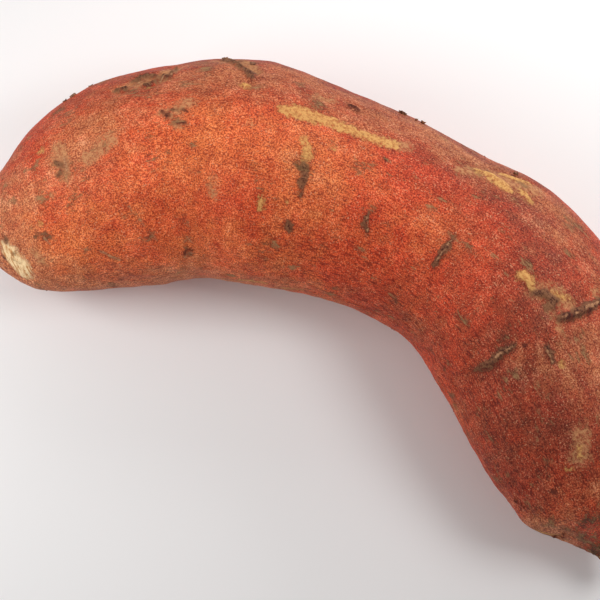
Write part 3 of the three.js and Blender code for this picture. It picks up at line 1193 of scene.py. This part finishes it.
@dataclass(frozen=True)
class SkinFinish:
    """Raw unpeeled skin: orange-red, finely grained, corky where it healed.

    The gains multiply the skin's own colour. The sizes are in metres, the rest from 0 to 1.

    Attributes:
        orange: Where the skin glows.
        red: The plain skin.
        dusk: Where it is dusky.
        tan: Where the skin is worn, and where pale light is painted on: floor bounce along the inner
            side and a sheen along the outer side.
        painted_glint: Pale flecks painted in as tiny specular glints.
        bark_light: The raised flakes of the bark.
        bark_dark: Between the flakes.
        grain_gain: What a pale grain does.
        pore_gain: What a pore or a crease does.
        mottle_gain: What a pale mottle does.
        bruise_gain: What a bruise does.
        shade_gain: What the shaded edge of a tissue does.
        broad_size: Width of the slow drift between tints.
        blotch_size: Width of the blotches between tints.
        streak_size: Width of the streaks in the tan.
        mottle_size: Width of a mottle.
        grain_size: Width of a grain.
        crease_size: Width of a fine crease.
        uneven_size: Width of the fine unevenness.
        crust_size: Width of the crumbs on tissues and bark.
        fleck_size: Width of a fleck in a tissue.
        edge_size: Width of the wanderings of a tissue's edge.
        flake_size: Width of a flake of bark.
        lobe_size: Width of the wanderings of the bark's edge.
        streak_drawn: How streaks are stretched, along the root and across it twice.
        crease_drawn: How fine creases are stretched, the same way.
        flake_drawn: How flakes of bark are stretched, the same way.
        tan_cover: How far tan covers its zones, both the worn skin and the painted light along the
            sides.
        mottle_cover: How strong the mottles are.
        bruise_cover: How strong the bruises are.
        painted_glint_cover: How strong the painted glints are.
        crease_cover: How strong the creases are.
        bark_cover: How far the bark covers the skin.
        roughness: The plain skin's least roughness.
        specular: How strongly it mirrors.
        bump_strength: How strong the fine relief is.
        bump_height: How high the fine relief stands, in metres.
        tissues: How each tissue looks, the last on top.
    """

    orange: tuple[float, ...] = linear(210, 100, 50)
    red: tuple[float, ...] = linear(200, 66, 34)
    dusk: tuple[float, ...] = linear(112, 44, 28)
    tan: tuple[float, ...] = linear(184, 106, 66)
    painted_glint: tuple[float, ...] = linear(236, 172, 130)
    bark_light: tuple[float, ...] = linear(164, 120, 80)
    bark_dark: tuple[float, ...] = linear(50, 30, 20)
    grain_gain: tuple[float, float, float] = (1.6, 2.4, 2.7)
    pore_gain: tuple[float, float, float] = (0.36, 0.22, 0.24)
    mottle_gain: tuple[float, float, float] = (1.25, 1.5, 1.8)
    bruise_gain: tuple[float, float, float] = (0.74, 0.6, 0.55)
    shade_gain: tuple[float, float, float] = (0.5, 0.42, 0.42)
    broad_size: float = 0.022
    blotch_size: float = 0.006
    streak_size: float = 0.005
    mottle_size: float = 0.0065
    grain_size: float = 0.0004
    crease_size: float = 0.0006
    uneven_size: float = 0.002
    crust_size: float = 0.0009
    fleck_size: float = 0.0009
    edge_size: float = 0.0018
    flake_size: float = 0.0018
    lobe_size: float = 0.007
    streak_drawn: tuple[float, float, float] = (0.5, 1.0, 1.0)
    crease_drawn: tuple[float, float, float] = (0.22, 1.0, 1.0)
    flake_drawn: tuple[float, float, float] = (0.3, 1.0, 1.0)
    tan_cover: float = 0.8
    mottle_cover: float = 0.7
    bruise_cover: float = 0.6
    painted_glint_cover: float = 0.45
    crease_cover: float = 0.75
    bark_cover: float = 0.95
    roughness: float = 0.56
    specular: float = 0.25
    bump_strength: float = 0.6
    bump_height: float = 0.0005
    tissues: tuple[TissueLook, ...] = (
        TissueLook(Tissue.ASH, linear(196, 140, 94), linear(150, 88, 56), 8.0, 2.6, 0.75, 0.0),
        TissueLook(Tissue.CORK, linear(220, 166, 96), linear(184, 120, 64), 5.0, 1.4, 0.84, 0.35),
        TissueLook(
            Tissue.FLESH,
            linear(246, 214, 164),
            linear(196, 134, 78),
            4.0,
            2.2,
            0.95,
            0.2,
            (1.2, 0.3, 0.3),
        ),
        TissueLook(Tissue.SCAR, linear(128, 84, 56), linear(58, 28, 20), 4.2, 0.8, 0.88, 0.5),
        TissueLook(Tissue.PALE, linear(194, 142, 102), linear(140, 88, 60), 1.6, 0.4, 0.75, 0.4),
        TissueLook(Tissue.PIT, linear(100, 40, 26), linear(52, 20, 14), 2.6, 0.7, 0.9, 0.3),
    )

    def material(self) -> bpy.types.Material:
        """Build the node material.

        Returns:
            The material.
        """
        material, graph = new_material("raw_skin")
        place = graph.attribute("unbent", "Vector")
        fine = graph.noise(place, self.grain_size, 1.0, Roughness=0.6)
        coarse = graph.noise(place, self.uneven_size, 3.0, Roughness=0.7)
        colour = self._base(graph, place)
        dashes = graph.noise(graph.stretched(place, self.crease_drawn), self.crease_size, 1.0)
        colour = self._grained(graph, colour, place, fine, dashes)
        colour, healed = self._marked(graph, colour, place)
        colour, bark = self._barked(graph, colour, place)
        rough = self.roughness + coarse * 0.2 + healed * 0.12 + bark * 0.1
        crust = graph.noise(place, self.crust_size, 3.0) * (healed + bark)
        height = fine * 0.4 + coarse * 0.7 + dashes * 0.9 + crust
        inputs = {"Base Color": colour, "Roughness": rough, "Specular IOR Level": self.specular}
        inputs["Normal"] = graph.bump(height, self.bump_strength, self.bump_height)
        graph.dress(inputs)
        return material

    def _base(self, graph: Graph, place: Value) -> Value:
        """Mix the skin's broad colour: red, glowing orange, dusky, or tan where the skin is worn and
        where light is painted on.

        Args:
            graph: The material's tree.
            place: Where the point is on the straightened root.

        Returns:
            The colour.
        """
        broad = graph.noise(place, self.broad_size, 3.0)
        blotch = graph.noise(place, self.blotch_size, 4.0, Roughness=0.65)
        # Orange glow. Its zone towards the inner side also carries painted floor-bounce light.
        glow = graph.attribute(Tint.GLOW.value) + (broad - 0.5) * 1.4 + (blotch - 0.5) * 1.4 + 0.2
        colour = graph.mix(graph.between(glow, 0.0, 1.1), self.red, self.orange)
        dusk = graph.attribute(Tint.DUSKY.value) + (blotch - 0.5) * 0.9
        colour = graph.mix(graph.between(dusk, 0.0, 1.1), colour, self.dusk)
        drawn = graph.stretched(place, self.streak_drawn)
        streaks = graph.noise(drawn, self.streak_size, 5.0, Roughness=0.75)
        # Tan: worn skin, plus painted floor-bounce light on the inner side and a painted pale sheen on
        # the outer side.
        tan_amount = graph.attribute(Tint.WORN_AND_LIT.value) + (streaks - 0.5) * 2.0 + (broad - 0.5) * 0.8
        return graph.mix(graph.between(tan_amount, 0.1, 1.1) * self.tan_cover, colour, self.tan)

    def _grained(
        self, graph: Graph, colour: Value, place: Value, fine: Value, dashes: Value
    ) -> Value:
        """Lay mottles, pale grains, dark pores and creases over a colour, in its own hue, then pale
        painted glints.

        Args:
            graph: The material's tree.
            colour: The skin's broad colour.
            place: Where the point is on the straightened root.
            fine: The finest noise, which makes grains and pores.
            dashes: Fine noise drawn out along the root, which makes the creases.

        Returns:
            The colour.
        """
        mottle = graph.noise(place, self.mottle_size, 6.0, Roughness=0.75)
        bruise = graph.noise(graph.stretched(place, (1.0, 1.0, -1.0)), self.mottle_size * 0.6, 5.0)
        bright = graph.stretched(colour, self.mottle_gain)
        colour = graph.mix(graph.between(mottle, 0.5, 0.64) * self.mottle_cover, colour, bright)
        deep = graph.stretched(colour, self.bruise_gain)
        colour = graph.mix(graph.between(bruise, 0.5, 0.36) * self.bruise_cover, colour, deep)
        grain = graph.stretched(colour, self.grain_gain)
        pore = graph.stretched(colour, self.pore_gain)
        patch = graph.between(mottle, 0.3, 0.7)
        colour = graph.mix(graph.between(fine, 0.5, 0.62) * (patch * 0.5 + 0.45), colour, grain)
        colour = graph.mix(graph.between(fine, 0.47, 0.38) * (0.95 - patch * 0.5), colour, pore)
        # Painted glints: sparse pale flecks that stand in for tiny specular highlights on the skin.
        painted_glint = graph.noise(graph.stretched(place, (1.0, -1.0, 1.0)), self.grain_size, 0.0)
        painted_glint = graph.between(painted_glint + patch * 0.08, 0.72, 0.8)
        colour = graph.mix(painted_glint * self.painted_glint_cover, colour, self.painted_glint)
        creased = graph.between(graph.attribute(Tint.WRINKLED.value), -0.3, 0.8)
        return graph.mix(graph.between(dashes, 0.45, 0.35) * creased * self.crease_cover, colour, pore)

    def _marked(self, graph: Graph, colour: Value, place: Value) -> tuple[Value, Value]:
        """Lay each tissue over the skin.

        Args:
            graph: The material's tree.
            colour: The plain skin's colour.
            place: Where the point is on the straightened root.

        Returns:
            The colour, and where the skin is healed tissue.
        """
        ragged = graph.noise(place, self.edge_size, 5.0, Roughness=0.75) - 0.5
        healed = None
        for look in self.tissues:
            depth = graph.attribute(look.tissue.value) + ragged * look.ragged
            inside = graph.between(depth, -0.4 * look.soft, 0.6 * look.soft) * look.cover
            edge = graph.between(depth, -1.0, 0.1) * look.shade
            colour = graph.mix(edge, colour, graph.stretched(colour, self.shade_gain))
            drawn = graph.stretched(place, look.drawn)
            flecks = graph.noise(drawn, self.fleck_size, 4.0, Roughness=0.75)
            tone = graph.mix(graph.between(flecks, 0.4, 0.56), look.dark, look.light)
            colour = graph.mix(inside, colour, tone)
            healed = inside if healed is None else graph.math("MAXIMUM", healed, inside)
        return colour, healed

    def _barked(self, graph: Graph, colour: Value, place: Value) -> tuple[Value, Value]:
        """Lay the crown's woody bark over the skin.

        Args:
            graph: The material's tree.
            colour: The marked skin's colour.
            place: Where the point is on the straightened root.

        Returns:
            The colour, and where the skin is bark.
        """
        drawn = graph.stretched(place, self.flake_drawn)
        flakes = graph.noise(drawn, self.flake_size, 6.0, Roughness=0.8)
        lobes = (graph.noise(place, self.lobe_size, 2.0) - 0.5) * 2.4 + (flakes - 0.5) * 3.0
        bark = graph.between(graph.attribute(Tint.BARK.value) + lobes, 0.3, 0.8)
        tone = graph.mix(graph.between(flakes, 0.46, 0.64), self.bark_dark, self.bark_light)
        return graph.mix(bark * self.bark_cover, colour, tone), bark


@dataclass(frozen=True)
class StubFinish:
    """Dry dark wood of a broken side root.

    Attributes:
        light: Its raised flakes.
        dark: Between the flakes.
        flake_size: Width of a flake, in metres.
        bump_strength: How strong the fine relief is, from 0 to 1.
        bump_height: How high it stands, in metres.
        roughness: The greatest roughness, from 0 to 1.
    """

    light: tuple[float, ...] = linear(150, 100, 68)
    dark: tuple[float, ...] = linear(84, 46, 32)
    flake_size: float = 0.0008
    bump_strength: float = 0.6
    bump_height: float = 0.0004
    roughness: float = 0.8

    def material(self) -> bpy.types.Material:
        """Build the node material.

        Returns:
            The material.
        """
        material, graph = new_material("dry_stub")
        place = graph.add("ShaderNodeTexCoord", {}, {}, "Object")
        flakes = graph.noise(place, self.flake_size, 4.0, Roughness=0.7)
        colour = graph.mix(graph.between(flakes, 0.38, 0.62), self.dark, self.light)
        bump = graph.bump(flakes, self.bump_strength, self.bump_height)
        rough = self.roughness - flakes * 0.1
        graph.dress({"Base Color": colour, "Roughness": rough, "Normal": bump})
        return material


# ---------------------------------------------------------------- the studio


@dataclass(frozen=True)
class SoftBox:
    """A square soft light that faces the point the camera looks at.

    Attributes:
        name: What it stands for.
        place: Where it hangs, from that point, in metres.
        size: Its side, in metres.
        power: Its power, in watts.
    """

    name: str
    place: tuple[float, float, float]
    size: float
    power: float


@dataclass
class Studio:
    """A pale floor, soft light mostly from the right, and the camera that looks down.

    Attributes:
        boxes: The soft lights.
        sky: Strength of the even light from all round.
        elevation: How steeply the camera looks down, in degrees.
        lens: Its focal length, in millimetres.
        sensor: Its sensor's width, in millimetres.
        frame_width: How much it takes in across, at the point it looks at, in metres.
        aim: The point it looks at, as fractions of the CAD box.
        floor_reach: How far the floor goes each way, in metres.
        floor_colour: The floor's linear colour.
        floor_roughness: The floor's roughness, from 0 to 1.
    """

    boxes: tuple[SoftBox, ...] = (
        SoftBox("right_window", (0.2, 0.0, 0.28), 0.12, 0.37),
        SoftBox("far_right_card", (0.2, 0.2, 0.13), 0.12, 0.29),
        SoftBox("far_card", (0.0, 0.2, 0.13), 0.12, 0.14),
        SoftBox("left_card", (-0.2, 0.0, 0.13), 0.12, 0.26),
    )
    sky: float = 0.34
    elevation: float = 78.0
    lens: float = 85.0
    sensor: float = 36.0
    frame_width: float = 0.168
    aim: tuple[float, float, float] = (0.479, 0.525, 0.46)
    floor_reach: float = 3.0
    floor_colour: tuple[float, float, float, float] = (0.88, 0.865, 0.86, 1.0)
    floor_roughness: float = 0.7

    def build(self) -> None:
        """Make the floor, the lights and the camera."""
        self._floor()
        self._lights()
        self._camera()
        bpy.context.scene.view_settings.view_transform = "Standard"

    def _target(self) -> Vector:
        """Return the point that the camera looks at."""
        low, high = CAD_BOX
        return Vector(l + part * (h - l) for l, h, part in zip(low, high, self.aim))

    def _camera(self) -> None:
        """Make the scene's camera."""
        data = bpy.data.cameras.new("camera")
        data.lens, data.sensor_width = self.lens, self.sensor
        camera = bpy.data.objects.new("camera", data)
        rise = math.radians(self.elevation)
        back = Vector((0.0, -math.cos(rise), math.sin(rise)))
        distance = self.frame_width * self.lens / self.sensor
        camera.location = self._target() + back * distance
        camera.rotation_euler = back.to_track_quat("Z", "Y").to_euler()
        bpy.context.scene.collection.objects.link(camera)
        bpy.context.scene.camera = camera

    def _floor(self) -> None:
        """Make the pale floor."""
        mesh = bpy.data.meshes.new("floor")
        reach = self.floor_reach
        corners = [(-reach, -reach, 0), (reach, -reach, 0), (reach, reach, 0), (-reach, reach, 0)]
        mesh.from_pydata(corners, [], [(0, 1, 2, 3)])
        floor = bpy.data.objects.new("floor", mesh)
        material, graph = new_material("pale_floor")
        graph.dress({"Base Color": self.floor_colour, "Roughness": self.floor_roughness})
        mesh.materials.append(material)
        bpy.context.scene.collection.objects.link(floor)

    def _lights(self) -> None:
        """Make the soft boxes, which the camera itself doesn't see, and the sky."""
        for box in self.boxes:
            data = bpy.data.lights.new(box.name, "AREA")
            data.shape, data.size, data.energy = "SQUARE", box.size, box.power
            light = bpy.data.objects.new(box.name, data)
            light.location = self._target() + Vector(box.place)
            light.rotation_euler = Vector(box.place).to_track_quat("Z", "Y").to_euler()
            light.visible_camera = False
            bpy.context.scene.collection.objects.link(light)
        self._sky()

    def _sky(self) -> None:
        """Make the faint even light from all round."""
        world = bpy.data.worlds.new("sky")
        world.use_nodes = True
        graph = Graph(world.node_tree)
        sky = graph.add("ShaderNodeBackground", {}, {"Color": (1, 1, 1, 1), "Strength": self.sky})
        graph.add("ShaderNodeOutputWorld", {}, {"Surface": sky})
        bpy.context.scene.world = world


# ---------------------------------------------------------------- building


@dataclass
class SweetPotato:
    """The whole root with its broken side roots.

    Attributes:
        form: The smooth form.
        marking: What is laid on it.
        relief: What grows on it.
        stubs: Its broken side roots.
        finish: The skin's finish.
        wood: The broken roots' finish.
    """

    form: RootForm = field(default_factory=RootForm)
    marking: SkinMarking = field(default_factory=SkinMarking)
    relief: GrowthRelief = field(default_factory=GrowthRelief)
    stubs: BrokenRoots = field(default_factory=BrokenRoots)
    finish: SkinFinish = field(default_factory=SkinFinish)
    wood: StubFinish = field(default_factory=StubFinish)

    def build(self) -> None:
        """Make the root and its stubs, and put them on their body."""
        skin = self.form.read()
        self.marking.apply(skin)
        root = bpy.data.objects.new("whole_root", skin.mesh("whole_root"))
        bpy.context.scene.collection.objects.link(root)
        self.relief.grow(root, self.finish.material())
        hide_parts(NODE)
        stubs = self.stubs.build(skin, self.wood.material())
        for piece in (root, stubs):
            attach(piece, BODY)
            log.info("%s: %d faces", piece.name, len(piece.data.polygons))


def main() -> None:
    """Build the root and its studio."""
    logging.basicConfig(level=logging.INFO)
    Studio().build()
    SweetPotato().build()


if __name__ == "__main__":
    main()
